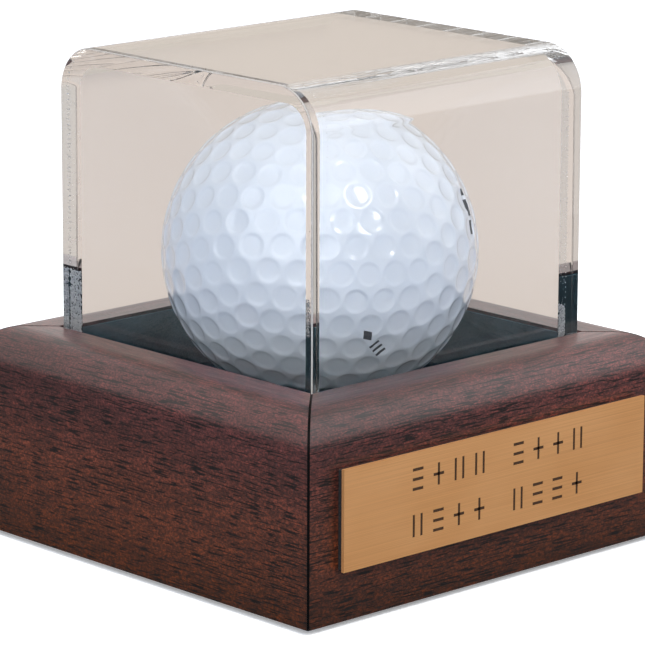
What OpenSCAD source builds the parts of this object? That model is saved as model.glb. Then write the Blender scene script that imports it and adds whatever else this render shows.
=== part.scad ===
// Golf ball display case: a mitred wooden base, a lined recess with a seat for the
// ball, a lift-off clear cover bent from one sheet with two flat ends, and an
// engraved name plate. Millimetres, Z up, front face towards -Y, underside at Z = 0.

/* [Wooden base] */
// Outer width and depth of the square base
base_side = 69.5; // [66:0.5:90]
// Height of the four rails, without the felt
rail_height = 29; // [26:0.5:40]
// Radius of the rounded outer top edge of each rail
rail_radius = 5; // [3:0.5:7]
// Width and depth of the fine groove along each mitre
mitre_groove = 0.35; // [0.1:0.05:0.5]

/* [Recess and seat] */
// Depth from the rim down to the velvet floor
recess_depth = 9.4; // [7:0.2:11]
// Side clearance between the cover and the lined wall
cover_clearance = 0.2; // [0.15:0.05:0.6]
// Thickness of the flocked wall lining
lining_thickness = 0.3; // [0.2:0.1:0.6]
// Thickness of the velvet on the floor
velvet_thickness = 0.6; // [0.4:0.1:1.2]
// Diameter of the seat drilled for the ball
seat_diameter = 9; // [7:0.1:14]

/* [Clear cover] */
// Outer width and depth of the cover
cover_side = 51.4; // [50:0.2:52]
// Height of the cover
cover_height = 49.8; // [49:0.2:56]
// Thickness of the clear sheet
sheet_thickness = 2.7; // [2:0.1:3]
// Outer radius of the two bends
bend_radius = 6.5; // [5:0.5:9]

/* [Ball] */
// Diameter of the ball
ball_diameter = 42.67; // [41.5:0.01:43]
// Thickness of the moulded skin of the ball
skin_thickness = 1.9; // [1.2:0.1:3]

/* [Name plate] */
// Width of the plate
plate_width = 58; // [40:0.5:62]
// Height of the plate
plate_height = 14; // [10:0.5:15]
// Thickness of the plate
plate_thickness = 0.5; // [0.4:0.1:1]
// Thickness of the foam tape behind the plate
tape_thickness = 0.8; // [0.5:0.1:1.2]
// Height of the lower edge of the plate above the bottom of the rails
plate_rise = 7.15; // [5:0.05:8]
// Sideways distance of the middle of the plate from the middle of the base
plate_offset = -0.55; // [-3:0.05:3]
// Depth of the engraving
engrave_depth = 0.12; // [0.05:0.01:0.2]

/* [Underside] */
// Thickness of the felt
felt_thickness = 0.8; // [0.6:0.1:1.5]
// Distance from the edge of the base to the edge of the felt
felt_inset = 2.5; // [1.5:0.5:5]
// Thickness of the bottom board
board_thickness = 3; // [2:0.5:4]

/* [Hidden] */

base_half = base_side / 2;
rail_foot = felt_thickness;
rim_top = rail_foot + rail_height;
cover_half = cover_side / 2;
recess_half = cover_half + cover_clearance + lining_thickness;
rail_depth = base_half - recess_half;
floor_top = rim_top - recess_depth;
deck_thickness = 4;
deck_top = floor_top - velvet_thickness;
deck_foot = deck_top - deck_thickness;
seat_depth = 2;
rabbet_depth = 3;
board_half = recess_half + rabbet_depth;
board_top = rail_foot + board_thickness;
block_side = 9;
lining_drop = 0.5;
cover_foot = floor_top + 0.05;
cover_top = cover_foot + cover_height;
joint_half = cover_half - sheet_thickness;
ball_radius = ball_diameter / 2;
ball_gap = 0.1;
ball_height = floor_top + ball_gap
  + sqrt(ball_radius * ball_radius - seat_diameter * seat_diameter / 4);
brad_offsets = [-15, 15];
brad_line = recess_half + rabbet_depth / 2;
brad_length = 9;
nail_rise = 6;
tape_inset = 0.2;
plate_foot = rail_foot + plate_rise;
plate_back = -base_half - tape_thickness;

rail_front();
rail_back();
rail_left();
rail_right();
mitre_nails();
corner_blocks();
deck_board();
deck_velvet();
lining_front();
lining_back();
lining_left();
lining_right();
bottom_board();
board_brads();
bottom_felt();
plate_tape();
name_plate();
cover_wrap();
cover_end_left();
cover_end_right();
ball_core();
ball_skin();

// ---- rails ----

// Section of a rail shrunk by a margin on its outer and top faces; x runs inwards
// from the outer face, y runs upwards from the foot.
module rail_outline(margin) {
  radius = rail_radius - margin;
  translate([rail_radius, 0]) square([rail_depth - rail_radius, rail_height - margin]);
  translate([margin, 0]) square([rail_depth - margin, rail_height - rail_radius]);
  intersection() {
    translate([rail_radius, rail_height - rail_radius]) circle(r = radius, $fn = 96);
    square([rail_depth, rail_height]);
  }
}

// Straight stick of rail along X, its outer face at -Y.
module rail_stick(margin) {
  translate([0, -base_half, rail_foot])
    rotate([90, 0, 90])
      linear_extrude(height = base_side, center = true)
        rail_outline(margin);
}

// Thin upright slab on the mitre plane through the corner at -X, -Y.
module mitre_slab() {
  rotate([0, 0, 45])
    translate([-base_side, -mitre_groove / 2, rail_foot - 1])
      cube([base_side, mitre_groove, rail_height + 2]);
}

// Fine groove that follows the outside of a rail along both of its mitres.
module mitre_grooves() {
  difference() {
    union() {
      mitre_slab();
      mirror([1, 0, 0]) mitre_slab();
    }
    rail_stick(mitre_groove);
    translate([-recess_half, -recess_half, 0])
      cube([2 * recess_half, 2 * recess_half, rim_top + 2]);
  }
}

// One mitred rail, drawn for the front side.
module rail_body() {
  difference() {
    intersection() {
      rail_stick(0);
      linear_extrude(height = rim_top + 1)
        polygon([[-base_half, -base_half], [base_half, -base_half], [0, 0]]);
    }
    mitre_grooves();
    translate([-board_half, -board_half, rail_foot - 1])
      cube([2 * board_half, 2 * board_half, board_thickness + 1]);
    for (corner = [0, 90]) rotate([0, 0, corner]) mitre_nail();
    for (x = brad_offsets) brad(x, -brad_line);
  }
}

module rail_front() {
  color("#5a2a22") rail_body();
}

module rail_back() {
  color("#5a2a22") rotate([0, 0, 180]) rail_body();
}

module rail_left() {
  color("#5a2a22") rotate([0, 0, 270]) rail_body();
}

module rail_right() {
  color("#5a2a22") rotate([0, 0, 90]) rail_body();
}

// Corrugated steel nail bent to a V, driven up across the mitre at -X, -Y.
module mitre_nail() {
  apex = (base_half - 1.7) * sqrt(2);
  wing = 2.2;
  gauge = 0.5;
  rotate([0, 0, 225])
    translate([apex, 0, rail_foot])
      linear_extrude(height = nail_rise)
        polygon([
          [0, 0], [-wing, wing], [-wing - gauge, wing],
          [-1.4 * gauge, 0], [-wing - gauge, -wing], [-wing, -wing]
        ]);
}

module mitre_nails() {
  color("#8d9094")
    for (corner = [0, 90, 180, 270]) rotate([0, 0, corner]) mitre_nail();
}

// ---- inside of the base ----

module corner_blocks() {
  color("#b08a5c")
    for (corner = [0, 90, 180, 270])
      rotate([0, 0, corner])
        translate([-recess_half, -recess_half, board_top])
          cube([block_side, block_side, deck_foot - board_top]);
}

module deck_board() {
  half = recess_half - 0.1;
  color("#a98a63")
    difference() {
      translate([-half, -half, deck_foot]) cube([2 * half, 2 * half, deck_thickness]);
      translate([0, 0, deck_top - seat_depth])
        cylinder(d = seat_diameter, h = seat_depth + 1, $fn = 96);
    }
}

module deck_velvet() {
  color("#14181b")
    difference() {
      translate([-recess_half, -recess_half, deck_top])
        cube([2 * recess_half, 2 * recess_half, velvet_thickness]);
      translate([0, 0, deck_top - 1])
        cylinder(d = seat_diameter, h = velvet_thickness + 2, $fn = 96);
    }
}

// Flocked strip on the front wall; the side strips stop at its face.
module lining_long() {
  translate([-recess_half, -recess_half, floor_top])
    cube([2 * recess_half, lining_thickness, recess_depth - lining_drop]);
}

module lining_short() {
  run = 2 * (recess_half - lining_thickness);
  translate([-run / 2, -recess_half, floor_top])
    cube([run, lining_thickness, recess_depth - lining_drop]);
}

module lining_front() {
  color("#14181b") lining_long();
}

module lining_back() {
  color("#14181b") rotate([0, 0, 180]) lining_long();
}

module lining_left() {
  color("#14181b") rotate([0, 0, 270]) lining_short();
}

module lining_right() {
  color("#14181b") rotate([0, 0, 90]) lining_short();
}

// ---- underside ----

// Headed brad through the bottom board into the rabbet of a rail.
module brad(x, y) {
  translate([x, y, rail_foot]) {
    cylinder(d = 1.8, h = 0.4, $fn = 48);
    cylinder(d = 1, h = brad_length, $fn = 48);
  }
}

module board_brads() {
  color("#8d9094")
    for (corner = [0, 90, 180, 270])
      rotate([0, 0, corner])
        for (x = brad_offsets) brad(x, -brad_line);
}

module bottom_board() {
  half = board_half - 0.1;
  color("#8a6a45")
    difference() {
      translate([-half, -half, rail_foot]) cube([2 * half, 2 * half, board_thickness]);
      for (corner = [0, 90, 180, 270])
        rotate([0, 0, corner])
          for (x = brad_offsets) brad(x, -brad_line);
    }
}

module bottom_felt() {
  half = base_half - felt_inset;
  color("#1c1c1e")
    translate([-half, -half, 0]) cube([2 * half, 2 * half, felt_thickness]);
}

// ---- name plate ----

module plate_tape() {
  color("#e6e2da")
    translate([
      plate_offset - plate_width / 2 + tape_inset,
      -base_half - tape_thickness,
      plate_foot + tape_inset
    ])
      cube([plate_width - 2 * tape_inset, tape_thickness, plate_height - 2 * tape_inset]);
}

// One engraved figure, centred on the origin: three level bars, a pair of uprights,
// or a cross of two bars.
module figure_mark(kind) {
  rise = 3.1;
  stroke = 0.42;
  bar_length = 2;
  upright_offset = 0.72;
  if (kind == 0) {
    for (z = [-1, 0, 1])
      translate([0, z * (rise - stroke) / 2]) square([bar_length, stroke], center = true);
  }
  if (kind == 1) {
    for (x = [-1, 1])
      translate([x * upright_offset, 0]) square([stroke, rise], center = true);
  }
  if (kind == 2) {
    square([stroke, rise], center = true);
    square([bar_length, stroke], center = true);
  }
}

// Two rows of eight generic figures with a gap in the middle of each row.
module plate_marks() {
  pitch = 3.9;
  half_gap = 1.8;
  row_heights = [3.3, -3.1];
  for (row = [0, 1])
    for (i = [0 : 7])
      translate([(i - 3.5) * pitch + (i < 4 ? -half_gap : half_gap), row_heights[row]])
        figure_mark((2 * i + row + floor(i / 3)) % 3);
}

module name_plate() {
  color("#c08a52")
    difference() {
      translate([plate_offset - plate_width / 2, plate_back - plate_thickness, plate_foot])
        cube([plate_width, plate_thickness, plate_height]);
      translate([
        plate_offset,
        plate_back - plate_thickness + engrave_depth,
        plate_foot + plate_height / 2
      ])
        rotate([90, 0, 0])
          linear_extrude(height = 1)
            plate_marks();
    }
}

// ---- clear cover ----

// Outline of the cover seen from the side: square foot, two rounded top corners.
module cover_outline(margin) {
  half = cover_half - margin;
  top = cover_height - margin;
  radius = bend_radius - margin;
  translate([-half, 0]) square([2 * half, top - radius]);
  translate([-half + radius, 0]) square([2 * (half - radius), top]);
  for (side = [-1, 1])
    translate([side * (half - radius), top - radius]) circle(r = radius, $fn = 96);
}

// Front, top and back of the cover: one sheet with two bends.
module cover_wrap() {
  color("#cfe3ea", 0.35)
    translate([0, 0, cover_foot])
      rotate([90, 0, 90])
        linear_extrude(height = 2 * joint_half, center = true)
          difference() {
            cover_outline(0);
            cover_outline(sheet_thickness);
            translate([-joint_half, -1]) square([2 * joint_half, 2]);
          }
}

module cover_end() {
  translate([0, 0, cover_foot])
    rotate([90, 0, 90])
      linear_extrude(height = sheet_thickness)
        cover_outline(0);
}

module cover_end_left() {
  color("#cfe3ea", 0.35) translate([-cover_half, 0, 0]) cover_end();
}

module cover_end_right() {
  color("#cfe3ea", 0.35) translate([joint_half, 0, 0]) cover_end();
}

// ---- ball ----

module ball_core() {
  color("#c9683a") translate([0, 0, ball_height]) sphere(r = ball_radius - skin_thickness, $fn = 96);
}

module ball_skin() {
  color("#f2f4f6")
    translate([0, 0, ball_height])
      difference() {
        sphere(r = ball_radius, $fn = 96);
        sphere(r = ball_radius - skin_thickness, $fn = 96);
      }
}
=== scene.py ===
"""Golf ball display case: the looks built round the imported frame, for Blender 4.5."""

import math

import bmesh
import bpy
import numpy as np
from mathutils import Matrix, Vector


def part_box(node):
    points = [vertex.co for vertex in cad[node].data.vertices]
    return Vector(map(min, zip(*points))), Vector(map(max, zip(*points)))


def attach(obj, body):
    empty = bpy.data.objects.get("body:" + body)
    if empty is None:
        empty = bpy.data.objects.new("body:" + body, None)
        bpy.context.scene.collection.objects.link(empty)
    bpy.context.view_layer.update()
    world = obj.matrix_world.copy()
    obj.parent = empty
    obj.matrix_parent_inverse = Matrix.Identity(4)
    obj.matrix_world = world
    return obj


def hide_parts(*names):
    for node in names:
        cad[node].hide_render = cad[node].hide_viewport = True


MM = 0.001

# Sockets of a Mix node set to colours: its factor, its two colours and its result.
MIX_FACTOR, MIX_A, MIX_B, MIX_RESULT = 0, 6, 7, 2

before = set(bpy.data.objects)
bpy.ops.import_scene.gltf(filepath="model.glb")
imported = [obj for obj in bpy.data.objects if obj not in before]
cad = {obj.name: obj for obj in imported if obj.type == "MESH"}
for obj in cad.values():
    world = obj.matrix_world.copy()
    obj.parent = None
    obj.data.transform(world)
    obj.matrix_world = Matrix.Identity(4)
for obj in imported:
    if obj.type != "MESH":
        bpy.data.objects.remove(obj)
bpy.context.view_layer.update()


# ---------------------------------------------------------------- small helpers

def box_of(*nodes):
    """Low and high corner of the box round several CAD nodes."""
    lows, highs = zip(*(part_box(n) for n in nodes))
    low = Vector([min(v[i] for v in lows) for i in range(3)])
    high = Vector([max(v[i] for v in highs) for i in range(3)])
    return low, high


def mesh_object(name, verts, faces, sharp_deg=None):
    mesh = bpy.data.meshes.new(name)
    mesh.from_pydata([tuple(v) for v in verts], [], [tuple(f) for f in faces])
    mesh.validate()
    mesh.update()
    obj = bpy.data.objects.new(name, mesh)
    bpy.context.scene.collection.objects.link(obj)
    if sharp_deg is not None:
        smooth_below(obj, sharp_deg)
    return obj


def smooth_below(obj, degrees):
    """Smooth shading, with edges steeper than the angle left sharp."""
    bm = bmesh.new()
    bm.from_mesh(obj.data)
    bmesh.ops.recalc_face_normals(bm, faces=bm.faces)
    limit = math.radians(degrees)
    for face in bm.faces:
        face.smooth = True
    for edge in bm.edges:
        if len(edge.link_faces) == 2:
            edge.smooth = edge.calc_face_angle(0.0) < limit
    bm.to_mesh(obj.data)
    bm.free()
    obj.data.update()


def new_mix(tree, blend="MIX"):
    """A Mix node set to blend two colours."""
    node = tree.nodes.new("ShaderNodeMix")
    node.data_type = "RGBA"
    node.blend_type = blend
    return node


def colour_of(node):
    """Colour output of a ramp or of a Mix node."""
    return node.outputs[MIX_RESULT if node.bl_idname == "ShaderNodeMix" else "Color"]


class Nodes:
    """A few short calls for building a node material."""

    def __init__(self, name):
        self.mat = bpy.data.materials.new(name)
        self.mat.use_nodes = True
        self.tree = self.mat.node_tree
        self.tree.nodes.clear()
        self.out = self.add("ShaderNodeOutputMaterial")
        self.bsdf = self.add("ShaderNodeBsdfPrincipled")
        self.link(self.bsdf, "BSDF", self.out, "Surface")

    def add(self, kind, **settings):
        node = self.tree.nodes.new(kind)
        for key, value in settings.items():
            setattr(node, key, value)
        return node

    def link(self, a, a_out, b, b_in):
        self.tree.links.new(a.outputs[a_out], b.inputs[b_in])

    def set(self, **values):
        for key, value in values.items():
            self.bsdf.inputs[key.replace("_", " ")].default_value = value

    def place(self, scale=(1, 1, 1)):
        coords = self.add("ShaderNodeTexCoord")
        mapping = self.add("ShaderNodeMapping")
        mapping.inputs["Scale"].default_value = scale
        self.link(coords, "Object", mapping, "Vector")
        return mapping

    def noise(self, vector, scale, detail=4.0, roughness=0.5, distortion=0.0):
        node = self.add("ShaderNodeTexNoise")
        node.inputs["Scale"].default_value = scale
        node.inputs["Detail"].default_value = detail
        node.inputs["Roughness"].default_value = roughness
        node.inputs["Distortion"].default_value = distortion
        self.link(vector, "Vector", node, "Vector")
        return node

    def ramp(self, source, out, stops):
        node = self.add("ShaderNodeValToRGB")
        points = node.color_ramp.elements
        while len(points) < len(stops):
            points.new(0.5)
        for point, (at, colour) in zip(points, stops):
            point.position = at
            point.color = (*colour, 1) if len(colour) == 3 else (colour[0],) * 3 + (1,)
        self.link(source, out, node, "Fac")
        return node

    def multiply(self, a, b, share):
        """Product of two nodes' colours, laid over the first one by a share."""
        node = new_mix(self.tree, "MULTIPLY")
        node.inputs[MIX_FACTOR].default_value = share
        self.tree.links.new(colour_of(a), node.inputs[MIX_A])
        self.tree.links.new(colour_of(b), node.inputs[MIX_B])
        return node

    def colour(self, node):
        self.tree.links.new(colour_of(node), self.bsdf.inputs["Base Color"])

    def bump(self, source, out, distance, strength=1.0, before=None):
        node = self.add("ShaderNodeBump")
        node.inputs["Strength"].default_value = strength
        node.inputs["Distance"].default_value = distance
        self.link(source, out, node, "Height")
        if before is not None:
            self.link(before, "Normal", node, "Normal")
        self.link(node, "Normal", self.bsdf, "Normal")
        return node


def give(material, *objects):
    for obj in objects:
        obj.data.materials.clear()
        obj.data.materials.append(material)


# ---------------------------------------------------------------- materials

# Heights between which the rails turn from a darker brown at the foot to a greyer red at the top:
# painted shade low down and a painted sky reflection high up.
PAINTED_LIGHT_FROM, PAINTED_LIGHT_TO = 1 * MM, 29 * MM
# How far the patches move the level at which the pores open, and the level's offset.
PORE_PATCHES, PORE_OFFSET = -0.17, 0.083


def wood_material(name, along_x):
    """Dark red-brown lacquered mahogany with its grain along one axis."""
    n = Nodes(name)

    def stretched(along, across):
        return n.place(scale=(along, across, across) if along_x else (across, along, across))

    board = n.noise(stretched(14, 75), 1.0, detail=3, roughness=0.6)
    fibre = n.noise(stretched(190, 1900), 1.0, detail=4, roughness=0.65)
    speck = n.noise(stretched(2500, 4100), 1.0, detail=3, roughness=0.65)
    pore = n.noise(stretched(270, 4400), 1.0, detail=1, roughness=0.5, distortion=0.1)
    patch = n.noise(stretched(55, 190), 1.0, detail=2, roughness=0.5)

    height = n.add("ShaderNodeSeparateXYZ")
    n.link(n.place(), "Vector", height, 0)
    level = n.add("ShaderNodeMapRange")
    level.inputs["From Min"].default_value = PAINTED_LIGHT_FROM
    level.inputs["From Max"].default_value = PAINTED_LIGHT_TO
    n.link(height, "Z", level, "Value")
    # Painted light: darker brown at the foot for painted shade, greyer red at the top for a painted sky
    # reflection.
    painted_height_light = n.ramp(level, "Result", [
        (0.0, (0.040, 0.0088, 0.0003)), (0.45, (0.069, 0.0172, 0.0066)), (1.0, (0.062, 0.0170, 0.0165)),
    ])
    broad = n.ramp(board, "Fac", [(0.28, (0.55,)), (0.52, (1.0,)), (0.76, (1.45,))])
    streak = n.ramp(fibre, "Fac", [(0.32, (0.42,)), (0.54, (1.0,)), (0.74, (1.5,))])
    red = n.ramp(speck, "Fac", [
        (0.36, (0.34, 0.38, 0.44)), (0.50, (1.0, 1.0, 1.0)), (0.64, (2.6, 2.15, 1.85)),
    ])
    reach = n.add("ShaderNodeMath", operation="MULTIPLY_ADD")
    n.link(patch, "Fac", reach, 0)
    reach.inputs[1].default_value = PORE_PATCHES
    reach.inputs[2].default_value = PORE_OFFSET
    opened = n.add("ShaderNodeMath", operation="ADD")
    n.link(pore, "Fac", opened, 0)
    n.link(reach, "Value", opened, 1)
    dark = n.ramp(opened, "Value", [(0.395, (0.03,)), (0.430, (1.0,))])

    tone = n.multiply(painted_height_light, broad, 1.0)
    tone = n.multiply(tone, streak, 0.8)
    tone = n.multiply(tone, red, 0.8)
    n.colour(n.multiply(tone, dark, 0.92))

    gloss = n.ramp(fibre, "Fac", [(0.3, (0.50,)), (0.7, (0.38,))])
    n.link(gloss, "Color", n.bsdf, "Roughness")
    first = n.bump(opened, "Value", 0.00008, 0.35)
    n.bump(fibre, "Fac", 0.00005, 0.25, before=first)
    n.set(Coat_Weight=0.42, Coat_Roughness=0.28, Specular_IOR_Level=0.30)
    return n.mat


def velvet_material(name, low, high):
    """Flocked cloth, between a low and a high colour."""
    n = Nodes(name)
    pile = n.noise(n.place(), 5200, detail=3, roughness=0.7)
    cloud = n.noise(n.place(), 160, detail=3, roughness=0.5)
    shade = n.ramp(pile, "Fac", [(0.3, low), (0.7, high)])
    worn = n.ramp(cloud, "Fac", [(0.3, (0.75,)), (0.7, (1.2,))])
    n.colour(n.multiply(shade, worn, 1.0))
    n.bump(pile, "Fac", 0.0001, 0.5)
    n.set(Roughness=0.9, Specular_IOR_Level=0.08, Sheen_Weight=0.12, Sheen_Roughness=0.4,
          Sheen_Tint=(0.16, 0.42, 0.52, 1))
    return n.mat


def felt_material():
    n = Nodes("felt_pad")
    fibre = n.noise(n.place(), 2600, detail=5, roughness=0.7, distortion=1.5)
    n.colour(n.ramp(fibre, "Fac", [(0.3, (0.006, 0.006, 0.007)), (0.75, (0.034, 0.034, 0.037))]))
    n.bump(fibre, "Fac", 0.0003, 0.7)
    n.set(Roughness=0.95, Sheen_Weight=0.25, Sheen_Roughness=0.5)
    return n.mat


def brass_material():
    """Satin brass-coloured sheet, brushed along its width."""
    n = Nodes("brass_brushed")
    brush = n.noise(n.place(scale=(30, 4000, 9000)), 1.0, detail=4, roughness=0.6)
    cloud = n.noise(n.place(scale=(70, 100, 160)), 1.0, detail=2, roughness=0.5)
    tone = n.ramp(cloud, "Fac", [(0.3, (0.70, 0.322, 0.112)), (0.7, (0.755, 0.364, 0.138))])
    line = n.ramp(brush, "Fac", [(0.3, (0.90,)), (0.7, (1.07,))])
    n.colour(n.multiply(tone, line, 1.0))
    rough = n.ramp(brush, "Fac", [(0.3, (0.50,)), (0.7, (0.40,))])
    n.link(rough, "Color", n.bsdf, "Roughness")
    n.bump(brush, "Fac", 0.00002, 0.35)
    n.set(Metallic=0.62, Anisotropic=0.3)
    return n.mat


def ink_material(name, colour, gloss=0.5):
    """Flat dark colour for a print, a fill or a shadow line."""
    n = Nodes(name)
    grain = n.noise(n.place(), 6000, detail=2)
    low = tuple(c * 0.8 for c in colour)
    n.colour(n.ramp(grain, "Fac", [(0.35, low), (0.65, colour)]))
    n.set(Roughness=0.55, Specular_IOR_Level=gloss)
    return n.mat


def steel_material():
    n = Nodes("steel_plain")
    draw = n.noise(n.place(scale=(900, 900, 90)), 1.0, detail=3)
    n.colour(n.ramp(draw, "Fac", [(0.3, (0.36, 0.37, 0.39)), (0.7, (0.55, 0.56, 0.58))]))
    n.set(Metallic=1.0, Roughness=0.38)
    return n.mat


def board_material(name, low, high):
    n = Nodes(name)
    fibre = n.noise(n.place(scale=(1, 1, 2.5)), 900, detail=6, roughness=0.65, distortion=0.6)
    n.colour(n.ramp(fibre, "Fac", [(0.3, low), (0.7, high)]))
    n.bump(fibre, "Fac", 0.0001, 0.3)
    n.set(Roughness=0.8)
    return n.mat


def tape_material():
    n = Nodes("foam_tape")
    cell = n.noise(n.place(), 3800, detail=2)
    n.colour(n.ramp(cell, "Fac", [(0.3, (0.007, 0.006, 0.006)), (0.7, (0.020, 0.018, 0.017))]))
    n.bump(cell, "Fac", 0.0001, 0.5)
    n.set(Roughness=0.85)
    return n.mat


def acrylic_material():
    n = Nodes("acrylic_clear")
    n.set(
        Base_Color=(1, 1, 1, 1), Roughness=0.0, IOR=1.49, Transmission_Weight=1.0,
        Specular_IOR_Level=0.5,
    )
    return n.mat


def satin_material():
    """Scraped edge of clear sheet: whitish and matt, and also a painted highlight along the arris."""
    n = Nodes("acrylic_satin_edge_and_glint")
    grain = n.noise(n.place(), 3000, detail=3)
    n.colour(n.ramp(grain, "Fac", [(0.3, (0.35, 0.315, 0.28)), (0.7, (0.46, 0.42, 0.38))]))
    n.set(Roughness=0.6)
    return n.mat


def cement_material():
    """Whitish flaws in the cemented joints of the cover."""
    n = Nodes("acrylic_cement")
    grain = n.noise(n.place(), 2500, detail=3)
    n.colour(n.ramp(grain, "Fac", [(0.3, (0.66, 0.65, 0.645)), (0.7, (0.90, 0.88, 0.865))]))
    n.set(Roughness=0.45, IOR=1.49, Transmission_Weight=0.3)
    return n.mat


def ball_material():
    n = Nodes("ball_lacquer")
    cloud = n.noise(n.place(), 90, detail=2, roughness=0.5)
    n.colour(n.ramp(cloud, "Fac", [(0.3, (0.87, 0.90, 0.945)), (0.7, (0.905, 0.925, 0.96))]))
    wave = n.noise(n.place(), 700, detail=2, roughness=0.5)
    n.bump(wave, "Fac", 0.00002, 0.12)
    n.set(Roughness=0.16, Specular_IOR_Level=0.5, Coat_Weight=0.9, Coat_Roughness=0.03)
    return n.mat


def rubber_material():
    n = Nodes("ball_core_rubber")
    cell = n.noise(n.place(), 1200, detail=4)
    n.colour(n.ramp(cell, "Fac", [(0.3, (0.40, 0.10, 0.03)), (0.7, (0.55, 0.17, 0.06))]))
    n.set(Roughness=0.6)
    return n.mat


wood_x = wood_material("wood_grain_x", True)
wood_y = wood_material("wood_grain_y", False)
velvet = velvet_material("velvet_black", (0.002, 0.026, 0.038), (0.012, 0.056, 0.076))
# The lining is a lighter copy of the deck velvet: painted light where the pile on the walls catches
# light.
lining = velvet_material("velvet_lining_painted_lit", (0.070, 0.142, 0.172), (0.142, 0.240, 0.280))
felt = felt_material()
brass = brass_material()
steel = steel_material()
acrylic = acrylic_material()
scraped_edge_and_glint = satin_material()
cement = cement_material()
ball_white = ball_material()
# The near-black of the mitre strips is painted shadow in the grooves.
mitre_painted_shadow = ink_material("mitre_shadow", (0.0025, 0.002, 0.002), gloss=0.05)
engraving_dark = ink_material("engraving_fill", (0.052, 0.026, 0.012), gloss=0.12)
ball_ink = ink_material("ball_ink", (0.012, 0.018, 0.035))

give(wood_x, cad["rail_front"], cad["rail_back"])
give(wood_y, cad["rail_left"], cad["rail_right"])
give(velvet, cad["deck_velvet"])
give(lining, *(cad["lining_" + s] for s in ("front", "back", "left", "right")))
give(felt, cad["bottom_felt"])
give(brass, cad["name_plate"])
give(tape_material(), cad["plate_tape"])
give(steel, cad["mitre_nails"], cad["board_brads"])
give(board_material("board_brown", (0.17, 0.105, 0.055), (0.31, 0.20, 0.11)),
     cad["deck_board"], cad["bottom_board"])
give(board_material("block_pine", (0.42, 0.27, 0.12), (0.62, 0.44, 0.22)), cad["corner_blocks"])
give(rubber_material(), cad["ball_core"])


# ---------------------------------------------------------------- ball

# Cosine above which two points of the dimple pattern are the same one.
SAME_POINT = 0.9995
EDGE_SLACK = 1e-9
# Steps that even out the pattern, and how far each one moves the points.
SPREAD_STEPS, SPREAD_RATE = 80, 0.00000022
NEIGHBOURS = 6

DIMPLE_DEPTH = 0.24 * MM
# Radius of a dimple as a share of the distance to its neighbours.
DIMPLE_SHARE = 0.435
# Part of a dimple's radius that its wall takes, and what the bowl and the wall add to its depth.
WALL_WIDTH, BOWL_PART, WALL_PART = 0.24, 0.68, 0.32
# Directions worked out at a time, to keep the memory small.
BATCH = 20000

# Directions in the main view: to its right, up and towards the camera.
VIEW_RIGHT = np.array([0.727, -0.687, 0.0])
VIEW_UP = np.array([0.158, 0.168, 0.973])
VIEW_BACK = np.array([-0.668, -0.707, 0.231])

# Rings and points per side of a printed shape, and how far the ink stands out and sinks in.
INK_RINGS, INK_POINTS = 7, 6
INK_ABOVE, INK_BELOW = 0.022 * MM, 0.03 * MM


def icosahedron():
    """Corners and triangles of an icosahedron on the unit sphere."""
    g = (1 + math.sqrt(5)) / 2
    v = np.array([
        (-1, g, 0), (1, g, 0), (-1, -g, 0), (1, -g, 0), (0, -1, g), (0, 1, g),
        (0, -1, -g), (0, 1, -g), (g, 0, -1), (g, 0, 1), (-g, 0, -1), (-g, 0, 1),
    ], float)
    f = [
        (0, 11, 5), (0, 5, 1), (0, 1, 7), (0, 7, 10), (0, 10, 11), (1, 5, 9), (5, 11, 4),
        (11, 10, 2), (10, 7, 6), (7, 1, 8), (3, 9, 4), (3, 4, 2), (3, 2, 6), (3, 6, 8),
        (3, 8, 9), (4, 9, 5), (2, 4, 11), (6, 2, 10), (8, 6, 7), (9, 8, 1),
    ]
    return v / np.linalg.norm(v[0]), f


def unit(rows):
    return rows / np.linalg.norm(rows, axis=-1, keepdims=True)


def dimple_centres(h, k):
    """Centres of an even icosahedral pattern of 10 (hh + hk + kk) + 2 dimples."""
    corners, faces = icosahedron()
    total = h * h + h * k + k * k
    found = []
    for a, b, c in faces:
        for i in range(-k, h + 1):
            for j in range(0, h + k + 1):
                u = (i * (h + k) + j * k) / total
                v = (j * h - i * k) / total
                w = 1 - u - v
                if min(u, v, w) > -EDGE_SLACK:
                    found.append(w * corners[a] + u * corners[b] + v * corners[c])
    points = unit(np.array(found))
    kept = []
    for p in points:
        if all(p @ q < SAME_POINT for q in kept):
            kept.append(p)
    points = np.array(kept)
    for _ in range(SPREAD_STEPS):
        gap = points[:, None] - points[None]
        d2 = (gap ** 2).sum(-1) + np.eye(len(points))
        push = (gap / d2[..., None] ** 3).sum(1)
        push -= (push * points).sum(1, keepdims=True) * points
        points = unit(points + SPREAD_RATE * push)
    return points


def turn_to(source, source_side, target, target_side):
    """Rotation that takes one direction to another with a second pair lined up."""
    def basis(a, b):
        a = np.array(a, float) / np.linalg.norm(a)
        b = np.array(b, float) - a * (np.array(b, float) @ a)
        b = b / np.linalg.norm(b)
        return np.stack([a, b, np.cross(a, b)], 1)
    return basis(target, target_side) @ basis(source, source_side).T


ball_low, ball_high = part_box("ball_skin")
ball_centre = np.array((ball_low + ball_high) / 2)
ball_radius = (ball_high.x - ball_low.x) / 2

dimples = dimple_centres(5, 2)
corners, faces = icosahedron()
face_middle = unit(sum(corners[i] for i in faces[0]))
nearest = dimples[np.argsort(-(dimples @ face_middle))]
spin = turn_to(nearest[0], nearest[1] - nearest[0], VIEW_BACK, VIEW_RIGHT)
dimples = dimples @ spin.T
near_dot = np.sort(dimples @ dimples.T, axis=1)[:, -NEIGHBOURS - 1:-1]
pitch = np.arccos(np.clip(near_dot, -1, 1)).mean(1)
rng = np.random.default_rng(7)
dimple_angle = DIMPLE_SHARE * pitch * rng.uniform(0.94, 1.03, len(pitch))


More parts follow.
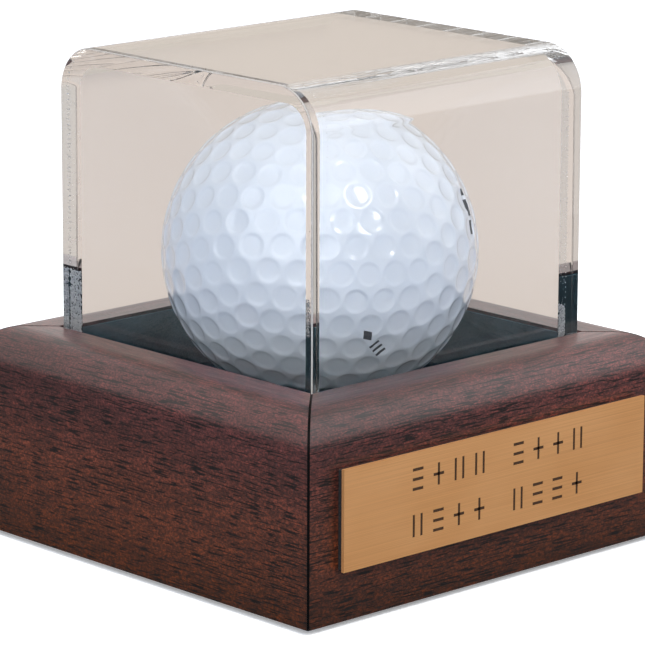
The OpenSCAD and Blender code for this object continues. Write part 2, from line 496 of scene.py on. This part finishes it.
def ball_surface(directions):
    """Radius of the dimpled skin in each unit direction."""
    radius = np.full(len(directions), ball_radius)
    for start in range(0, len(directions), BATCH):
        part = directions[start:start + BATCH]
        dots = part @ dimples.T
        best = dots.argmax(1)
        angle = np.arccos(np.clip(dots[np.arange(len(part)), best], -1, 1))
        out = angle / dimple_angle[best]
        wall = np.clip((1 - out) / WALL_WIDTH, 0, 1)
        bowl = BOWL_PART * np.clip(1 - out ** 2, 0, None) + WALL_PART * wall * wall * (3 - 2 * wall)
        radius[start:start + BATCH] -= DIMPLE_DEPTH * bowl
    return radius


def geodesic(n):
    """Unit sphere of 20 n n triangles."""
    corners, faces = icosahedron()
    index, points, tris = {}, [], []

    def point(p):
        key = tuple(np.round(p, 7))
        if key not in index:
            index[key] = len(points)
            points.append(p)
        return index[key]

    for a, b, c in faces:
        grid = {}
        for i in range(n + 1):
            for j in range(n + 1 - i):
                p = corners[a] * (n - i - j) + corners[b] * i + corners[c] * j
                grid[i, j] = point(p / np.linalg.norm(p))
        for i in range(n):
            for j in range(n - i):
                tris.append((grid[i, j], grid[i + 1, j], grid[i, j + 1]))
                if i + j < n - 1:
                    tris.append((grid[i + 1, j], grid[i + 1, j + 1], grid[i, j + 1]))
    return np.array(points), tris


ball_steps = 98
sphere_points, sphere_tris = geodesic(ball_steps)
ball_verts = ball_centre + sphere_points * ball_surface(sphere_points)[:, None]
ball = mesh_object("ball_dimpled", ball_verts, sphere_tris, sharp_deg=180)
give(ball_white, ball)
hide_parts("ball_skin")
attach(ball, "ball")


def ball_print(name, at, heading, shapes):
    """Thin ink on the skin: flat shapes (mm) laid round a point, x along the heading."""
    at = np.array(at, float) / np.linalg.norm(at)
    x = np.array(heading, float) - at * (np.array(heading, float) @ at)
    x = x / np.linalg.norm(x)
    y = np.cross(at, x)
    verts, tris = [], []
    for outline in shapes:
        outline = np.array(outline, float)
        middle = outline.mean(0)
        first = len(verts)
        verts.append(middle)
        spokes = []
        for i in range(len(outline)):
            a, b = outline[i], outline[(i + 1) % len(outline)]
            spokes += [a + (b - a) * t / INK_POINTS for t in range(INK_POINTS)]
        for r in range(1, INK_RINGS + 1):
            verts += [middle + (p - middle) * r / INK_RINGS for p in spokes]
        m = len(spokes)
        for i in range(m):
            j = (i + 1) % m
            tris.append((first, first + 1 + i, first + 1 + j))
            for r in range(1, INK_RINGS):
                a0, b0 = first + 1 + (r - 1) * m + i, first + 1 + (r - 1) * m + j
                a1, b1 = a0 + m, b0 + m
                tris += [(a0, a1, b1), (a0, b1, b0)]
    flat = np.array(verts) * MM
    dirs = unit(at * ball_radius + flat[:, :1] * x + flat[:, 1:] * y)
    skin = ball_surface(dirs)
    top = ball_centre + dirs * (skin + INK_ABOVE)[:, None]
    foot = ball_centre + dirs * (skin - INK_BELOW)[:, None]
    count = len(top)
    edges = {}
    for t in tris:
        for a, b in zip(t, t[1:] + t[:1]):
            edges[(a, b)] = edges.get((a, b), 0) + 1
    rim = [e for e in edges if (e[1], e[0]) not in edges]
    all_faces = list(tris) + [tuple(i + count for i in reversed(t)) for t in tris]
    all_faces += [(b, a, a + count, b + count) for a, b in rim]
    obj = mesh_object(name, np.concatenate([top, foot]), all_faces, sharp_deg=60)
    give(ball_ink, obj)
    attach(obj, "ball")


def bar(x0, x1, y0, y1):
    """Outline of an upright rectangle."""
    return [(x0, y0), (x1, y0), (x1, y1), (x0, y1)]


down_right = 0.547 * VIEW_RIGHT - 0.837 * VIEW_UP
ball_print("ball_mark_low", (-0.418, -0.831, -0.368), down_right, [
    [(-1.1, 0), (-0.1, -0.75), (0.9, 0), (-0.1, 0.75)],
    bar(1.7, 2.1, -0.8, 0.8), bar(2.7, 3.1, -0.8, 0.8), bar(3.7, 4.1, -0.8, 0.8),
])
ball_print("ball_mark_side", (0.512, -0.806, 0.312), (0.1, 0.1, 1), [
    bar(-3.2, -1.2, -0.35, 0.35), bar(-0.6, 1.8, -0.5, 0.5), bar(2.4, 3.4, -0.35, 0.35),
])


# ---------------------------------------------------------------- clear cover

# Outer radius of the two bends, the bevel round each end and the steps in a bend.
BEND, ARRIS, BEND_STEPS = 6.5 * MM, 0.20 * MM, 44


def cover_profile(half, top, inset=0.0):
    """The cover's section moved in by an inset: up the front, over the bends, down the back."""
    half, top, radius = half - inset, top - inset, BEND - inset
    points = [(-half, 0.0)]
    for i in range(BEND_STEPS + 1):
        a = math.pi - i * math.pi / 2 / BEND_STEPS
        points.append((-half + radius + radius * math.cos(a), top - radius + radius * math.sin(a)))
    for i in range(BEND_STEPS + 1):
        a = math.pi / 2 - i * math.pi / 2 / BEND_STEPS
        points.append((half - radius + radius * math.cos(a), top - radius + radius * math.sin(a)))
    points.append((half, 0.0))
    return points


def build_cover():
    """The wrap and both ends as one clear piece, as the cement leaves them."""
    low, high = box_of("cover_wrap", "cover_end_left", "cover_end_right")
    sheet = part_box("cover_end_left")[1].x - low.x
    half, top, foot = high.x, high.z - low.z, low.z
    stations = [
        (-half, cover_profile(half, top, ARRIS)),
        (-half + ARRIS, cover_profile(half, top)),
        (half - ARRIS, cover_profile(half, top)),
        (half, cover_profile(half, top, ARRIS)),
    ]
    inner = cover_profile(half, top, sheet)
    verts, faces, rows, inside = [], [], [], []
    for x, profile in stations:
        rows.append(range(len(verts), len(verts) + len(profile)))
        verts += [(x, y, foot + z) for y, z in profile]
    for x in (-half + sheet, half - sheet):
        inside.append(range(len(verts), len(verts) + len(inner)))
        verts += [(x, y, foot + z) for y, z in inner]
    for a, b in zip(rows, rows[1:]):
        faces += [(a[i], b[i], b[i + 1], a[i + 1]) for i in range(len(a) - 1)]
    faces.append(tuple(rows[0]))
    faces.append(tuple(reversed(rows[-1])))
    left, right = inside
    faces += [(left[i], left[i + 1], right[i + 1], right[i]) for i in range(len(left) - 1)]
    faces.append(tuple(reversed(left)))
    faces.append(tuple(right))
    # The foot is a ring between the outer and the inner outline.
    f = [row[0] for row in rows]
    g = [row[-1] for row in rows]
    faces += [
        (f[0], f[1], left[0]), (f[1], f[2], right[0], left[0]), (f[2], f[3], right[0]),
        (g[1], g[0], left[-1]), (g[2], g[1], left[-1], right[-1]), (g[3], g[2], right[-1]),
        (f[0], left[0], left[-1], g[0]), (f[3], g[3], right[-1], right[0]),
    ]
    obj = mesh_object("cover_clear", verts, faces, sharp_deg=24)
    give(acrylic, obj)
    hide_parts("cover_wrap", "cover_end_left", "cover_end_right")
    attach(obj, "cover")


def profile_normals(points):
    """Outward unit normals of an open outline given as (y, z) points."""
    normals = []
    for i in range(len(points)):
        before, after = points[max(i - 1, 0)], points[min(i + 1, len(points) - 1)]
        dy, dz = after[0] - before[0], after[1] - before[1]
        length = math.hypot(dy, dz)
        normals.append((-dz / length, dy / length))
    return normals


def ribbon(verts, faces, edge_a, edge_b, normals, thick):
    """Adds a thin closed strip between two rows of points, lying on a surface."""
    s, m = len(verts), len(edge_a)
    for a, b, n in zip(edge_a, edge_b, normals):
        a, b, n = Vector(a), Vector(b), Vector(n).normalized() * thick / 2
        verts += [a + n, b + n, b - n, a - n]
    for i in range(m - 1):
        p, q = s + 4 * i, s + 4 * i + 4
        faces += [(p + k, p + (k + 1) % 4, q + (k + 1) % 4, q + k) for k in range(4)]
    e = s + 4 * (m - 1)
    faces += [(s + 3, s + 2, s + 1, s), (e, e + 1, e + 2, e + 3)]


# Share of a bevel's width, each way from its middle, that is scraped matt on the left and right end; the
# strips are also a painted highlight along each arris, wider on the left end.
SCRAPED_LEFT, SCRAPED_RIGHT = 0.34, 0.12
SCRAPE_THICK = 0.03 * MM
# Flaws low in the cement, in mm: end sheet (-1 left), side (-1 front), how many, least and
# greatest radius, height at which they start above the foot and how much higher they reach.
CEMENT_FLAWS = (
    (-1, 1, 150, 0.03, 0.06, 2, 40), (1, -1, 200, 0.03, 0.06, 2, 40),
    (-1, 1, 760, 0.09, 0.19, 8, 9.4), (1, -1, 420, 0.08, 0.16, 8, 5.5),
)
# Power above 1 that crowds the flaws towards the height at which they start.
FLAW_CROWDING = 1.25


def build_arrises():
    """Matt scraped strips along the bevels of the two ends, which are also a painted highlight along
    each arris.
    """
    low, high = box_of("cover_wrap", "cover_end_left", "cover_end_right")
    half, top, foot = high.x, high.z - low.z, low.z
    outer = cover_profile(half, top)
    inset = cover_profile(half, top, ARRIS)
    verts, faces = [], []
    for side, spread in ((-1, SCRAPED_LEFT), (1, SCRAPED_RIGHT)):
        edge_a, edge_b, normals = [], [], []
        for (y0, z0), (y1, z1), (ny, nz) in zip(inset, outer, profile_normals(outer)):
            a = Vector((side * half, y0, foot + z0))
            b = Vector((side * (half - ARRIS), y1, foot + z1))
            edge_a.append(a.lerp(b, 0.5 - spread))
            edge_b.append(a.lerp(b, 0.5 + spread))
            normals.append((side, ny, nz))
        ribbon(verts, faces, edge_a, edge_b, normals, SCRAPE_THICK)
    arrises = mesh_object("cover_arrises", verts, faces, sharp_deg=40)
    give(scraped_edge_and_glint, arrises)
    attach(arrises, "cover")


def build_bubbles():
    """A line of fine bubbles along each cemented joint, and the flaws low in two of them."""
    low, high = box_of("cover_wrap", "cover_end_left", "cover_end_right")
    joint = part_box("cover_end_right")[0].x
    half, top, foot = high.x, high.z - low.z, low.z
    outer = cover_profile(half, top)
    outward = profile_normals(outer)
    chance = np.random.default_rng(11)
    bubble_points, bubble_faces = icosahedron()
    verts, faces = [], []

    def bubble(centre, radius, shape):
        s = len(verts)
        verts.extend(Vector(v) for v in centre + bubble_points * radius * np.array(shape))
        faces.extend(tuple(s + k for k in f) for f in bubble_faces)

    lengths = [0.0]
    for p, q in zip(outer, outer[1:]):
        lengths.append(lengths[-1] + math.dist(p, q))
    margin = 0.8 * MM
    for side in (-1, 1):
        along = margin
        while along < lengths[-1] - margin:
            i = max(k for k in range(len(lengths)) if lengths[k] <= along)
            t = (along - lengths[i]) / (lengths[i + 1] - lengths[i])
            radius = chance.uniform(0.04, 0.085) * MM
            sink = radius + chance.uniform(0.01, 0.10) * MM
            y = outer[i][0] * (1 - t) + outer[i + 1][0] * t - outward[i][0] * sink
            z = outer[i][1] * (1 - t) + outer[i + 1][1] * t - outward[i][1] * sink
            centre = np.array((side * joint + chance.normal(0, 0.04) * MM, y, foot + z))
            upright = abs(outward[i][0]) > 0.5
            bubble(centre, radius, (0.8, 1.0, 1.3) if upright else (0.8, 1.3, 1.0))
            along += chance.uniform(0.35, 1.0) * MM
    for side, end, count, least, most, start, rise in CEMENT_FLAWS:
        for _ in range(count):
            radius = chance.uniform(least, most) * MM
            y = end * (joint + chance.uniform(0.08, 0.93) * (half - joint))
            z = foot + (start + rise * chance.uniform(0, 1) ** FLAW_CROWDING) * MM
            centre = np.array((side * joint + chance.normal(0, 0.05) * MM, y, z))
            bubble(centre, radius, (0.7, 1.0, 1.2))
    bubbles = mesh_object("cover_cement_bubbles", verts, faces, sharp_deg=180)
    give(cement, bubbles)
    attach(bubbles, "cover")


build_cover()
build_arrises()
build_bubbles()


# ---------------------------------------------------------------- mitre lines and engraving

def build_mitre_lines():
    """Dark strips in the fine groove at each of the four mitres: painted shadow in the groove."""
    low, high = box_of("rail_front", "rail_back", "rail_left", "rail_right")
    half, foot, top = high.x, low.z, high.z
    radius, steps = 5.0 * MM, 14
    sunk, depth, thick, lap = 0.06 * MM, 0.17 * MM, 0.16 * MM, 0.05 * MM
    profile = [(half - sunk, foot)]
    for i in range(steps + 1):
        a = i * math.pi / 2 / steps
        profile.append((half - radius + (radius - sunk) * math.cos(a),
                        top - radius + (radius - sunk) * math.sin(a)))
    profile.append((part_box("lining_front")[1].x + lap, top - sunk))
    back = [(r - depth, z - (depth if z > top - radius else 0)) for r, z in profile]
    for n, (sx, sy) in enumerate(((-1, -1), (1, -1), (1, 1), (-1, 1))):
        across = Vector((-sy, sx, 0)).normalized() * thick
        verts = []
        for ring in (profile, back):
            for r, z in ring:
                at = Vector((sx * r, sy * r, z))
                verts += [at - across, at + across]
        m = len(profile)
        faces = []
        for i in range(m - 1):
            f0, f1, g0, g1 = 2 * i, 2 * i + 1, 2 * i + 2, 2 * i + 3
            faces.append((f0, f1, g1, g0))
            faces.append((f0 + 2 * m, g0 + 2 * m, g1 + 2 * m, f1 + 2 * m))
            faces.append((f0, g0, g0 + 2 * m, f0 + 2 * m))
            faces.append((f1, f1 + 2 * m, g1 + 2 * m, g1))
        faces.append((0, 2 * m, 2 * m + 1, 1))
        e = 2 * m - 2
        faces.append((e, e + 1, e + 1 + 2 * m, e + 2 * m))
        obj = mesh_object("mitre_line_%d" % n, verts, faces, sharp_deg=40)
        give(mitre_painted_shadow, obj)
        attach(obj, "base")


def build_engraving():
    """Dark fill in the plate's engraved figures: the same two rows as the recesses."""
    low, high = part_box("name_plate")
    front, middle, centre = low.y, (low.z + high.z) / 2, (low.x + high.x) / 2
    rise, stroke, pitch, half_gap = 3.1, 0.42, 3.9, 1.8
    half_bar, upright_offset = 1.0, 0.72
    row_heights = (3.3, -3.1)
    fill_front, fill_back = front + 0.045 * MM, front + 0.118 * MM
    bars = []
    for row, height in enumerate(row_heights):
        for i in range(8):
            x = (i - 3.5) * pitch + (-half_gap if i < 4 else half_gap)
            kind = (2 * i + row + i // 3) % 3
            if kind == 0:
                bars += [(x, height + s * (rise - stroke) / 2, half_bar, stroke / 2) for s in (-1, 0, 1)]
            elif kind == 1:
                bars += [(x + s * upright_offset, height, stroke / 2, rise / 2) for s in (-1, 1)]
            else:
                bars += [(x, height, stroke / 2, rise / 2), (x, height, half_bar, stroke / 2)]
    verts, faces = [], []
    for x, z, hx, hz in bars:
        s = len(verts)
        for y in (fill_front, fill_back):
            verts += [(centre + (x + a * hx) * MM, y, middle + (z + b * hz) * MM)
                      for a, b in ((-1, -1), (1, -1), (1, 1), (-1, 1))]
        faces += [(s, s + 1, s + 2, s + 3), (s + 7, s + 6, s + 5, s + 4)]
        faces += [(s + i, s + 4 + i, s + 4 + (i + 1) % 4, s + (i + 1) % 4) for i in range(4)]
    obj = mesh_object("plate_engraving", verts, faces)
    give(engraving_dark, obj)
    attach(obj, "base")


build_mitre_lines()
build_engraving()


# ---------------------------------------------------------------- stage, light and camera

def seen_colour(tree, sharp_ray, direct, clear, gloss, bounce):
    """Studio colour: to the camera, along sharp rays, in soft gloss, and as light."""
    path = tree.nodes.new("ShaderNodeLightPath")
    lit = tree.nodes.new("ShaderNodeMath")
    lit.operation = "GREATER_THAN"
    lit.inputs[1].default_value = 0.5
    tree.links.new(path.outputs["Diffuse Depth"], lit.inputs[0])
    last = gloss
    for factor, colour in ((path.outputs[sharp_ray], clear), (lit.outputs[0], bounce),
                           (path.outputs["Is Camera Ray"], direct)):
        mix = new_mix(tree)
        tree.links.new(factor, mix.inputs[MIX_FACTOR])
        for socket, value in ((MIX_A, last), (MIX_B, colour)):
            if isinstance(value, bpy.types.NodeSocket):
                tree.links.new(value, mix.inputs[socket])
            else:
                mix.inputs[socket].default_value = (*value, 1)
        last = mix.outputs[MIX_RESULT]
    return last


def two_stops(tree, source, near, near_colour, far, far_colour):
    """Colour that runs from one stop to another as the source rises."""
    ramp = tree.nodes.new("ShaderNodeValToRGB")
    tree.links.new(source, ramp.inputs[0])
    for point, at, colour in zip(ramp.color_ramp.elements, (near, far), (near_colour, far_colour)):
        point.position, point.color = at, (*colour, 1)
    return ramp.outputs["Color"]


def depth_ramp(tree, place, *stops):
    """Colour that changes from the front left of the case to the back right."""
    split = tree.nodes.new("ShaderNodeSeparateXYZ")
    tree.links.new(place, split.inputs[0])
    depth = tree.nodes.new("ShaderNodeMath")
    depth.operation = "ADD"
    tree.links.new(split.outputs["X"], depth.inputs[0])
    tree.links.new(split.outputs["Y"], depth.inputs[1])
    return two_stops(tree, depth.outputs[0], *stops)


def build_stage():
    size = 3.0
    corners = [(-size, -size, 0), (size, -size, 0), (size, size, 0), (-size, size, 0)]
    floor = mesh_object("floor", corners, [(0, 1, 2, 3)])
    mat = bpy.data.materials.new("floor_pale")
    mat.use_nodes = True
    tree = mat.node_tree
    bsdf = tree.nodes["Principled BSDF"]
    bsdf.inputs["Roughness"].default_value = 0.7
    bsdf.inputs["Specular IOR Level"].default_value = 0.1
    place = tree.nodes.new("ShaderNodeTexCoord").outputs["Object"]
    behind = depth_ramp(tree, place, 0.0, (0.31, 0.285, 0.255), 0.08, (0.485, 0.41, 0.352))
    colour = seen_colour(tree, "Is Transmission Ray", (1.0, 1.0, 1.0),
                         behind, (0.03, 0.05, 0.06), (0.36, 0.47, 0.66))
    tree.links.new(colour, bsdf.inputs["Base Color"])
    tree.links.new(colour, bsdf.inputs["Emission Color"])
    bsdf.inputs["Emission Strength"].default_value = 0.25
    floor.data.materials.append(mat)


LIGHT_TARGET = Vector((0, 0, 0.035))


def area_light(name, at, size, power, colour):
    """Square light aimed at the middle of the case."""
    data = bpy.data.lights.new(name, "AREA")
    data.shape = "RECTANGLE"
    data.size = data.size_y = size
    data.energy = power
    data.color = colour
    obj = bpy.data.objects.new(name, data)
    obj.location = at
    obj.rotation_euler = (LIGHT_TARGET - Vector(at)).to_track_quat("-Z", "Y").to_euler()
    bpy.context.scene.collection.objects.link(obj)


def build_light():
    world = bpy.data.worlds.new("studio")
    bpy.context.scene.world = world
    world.use_nodes = True
    tree = world.node_tree
    back = tree.nodes["Background"]
    place = tree.nodes.new("ShaderNodeTexCoord").outputs["Generated"]
    split = tree.nodes.new("ShaderNodeSeparateXYZ")
    tree.links.new(place, split.inputs[0])
    sky = two_stops(tree, split.outputs["Z"], 0.05, (0.40, 0.46, 0.55), 0.90, (0.90, 0.95, 1.03))
    room = depth_ramp(tree, place, 0.0, (0.38, 0.36, 0.34), 0.5, (0.66, 0.595, 0.53))
    colour = seen_colour(tree, "Is Singular Ray", (1.0, 1.0, 1.0), room, (1.30, 1.22, 1.18), sky)
    tree.links.new(colour, back.inputs["Color"])
    back.inputs["Strength"].default_value = 1.0
    warm, cool = (1.0, 0.985, 0.95), (0.90, 0.95, 1.0)
    area_light("key", (-0.14, -0.62, 0.75), 0.17, 3.6, warm)
    area_light("fill", (-0.17, -0.85, 0.47), 0.15, 1.3, warm)
    area_light("right", (0.75, -0.45, 0.45), 0.8, 2.1, cool)
    area_light("left", (-0.75, -0.25, 0.50), 1.1, 6.0, cool)


LENS, SENSOR = 224.0, 36.0
AZIMUTH, ELEVATION, ROLL = -43.37, 13.33, 0.22
CAMERA_DISTANCE = 0.5659
# Point that the camera looks at: how far it lies to the right of the axis, and its height.
AIM_RIGHT, AIM_HEIGHT = 0.00035, 0.0307


def build_camera():
    data = bpy.data.cameras.new("camera")
    data.sensor_width = SENSOR
    data.lens = LENS
    cam = bpy.data.objects.new("camera", data)
    azimuth, elevation, roll = (math.radians(v) for v in (AZIMUTH, ELEVATION, ROLL))
    back = Vector((math.sin(azimuth) * math.cos(elevation),
                   -math.cos(azimuth) * math.cos(elevation), math.sin(elevation)))
    right = Vector((math.cos(azimuth), math.sin(azimuth), 0.0))
    up = back.cross(right)
    target = right * AIM_RIGHT + Vector((0, 0, AIM_HEIGHT))
    turned_right = right * math.cos(roll) + up * math.sin(roll)
    turned_up = -right * math.sin(roll) + up * math.cos(roll)
    place = Matrix((turned_right, turned_up, back)).transposed().to_4x4()
    place.translation = target + back * CAMERA_DISTANCE
    cam.matrix_world = place
    data.clip_start, data.clip_end = 0.01, 20
    bpy.context.scene.collection.objects.link(cam)
    bpy.context.scene.camera = cam


# Enough for light that is caught between the faces of the clear sheet.
CLEAR_BOUNCES = 160

build_stage()
build_light()
build_camera()

scene = bpy.context.scene
scene.view_settings.view_transform = "Standard"
scene.view_settings.look = "None"
scene.cycles.max_bounces = CLEAR_BOUNCES
scene.cycles.transmission_bounces = CLEAR_BOUNCES
scene.cycles.glossy_bounces = CLEAR_BOUNCES
scene.cycles.diffuse_bounces = 6
scene.cycles.use_denoising = True
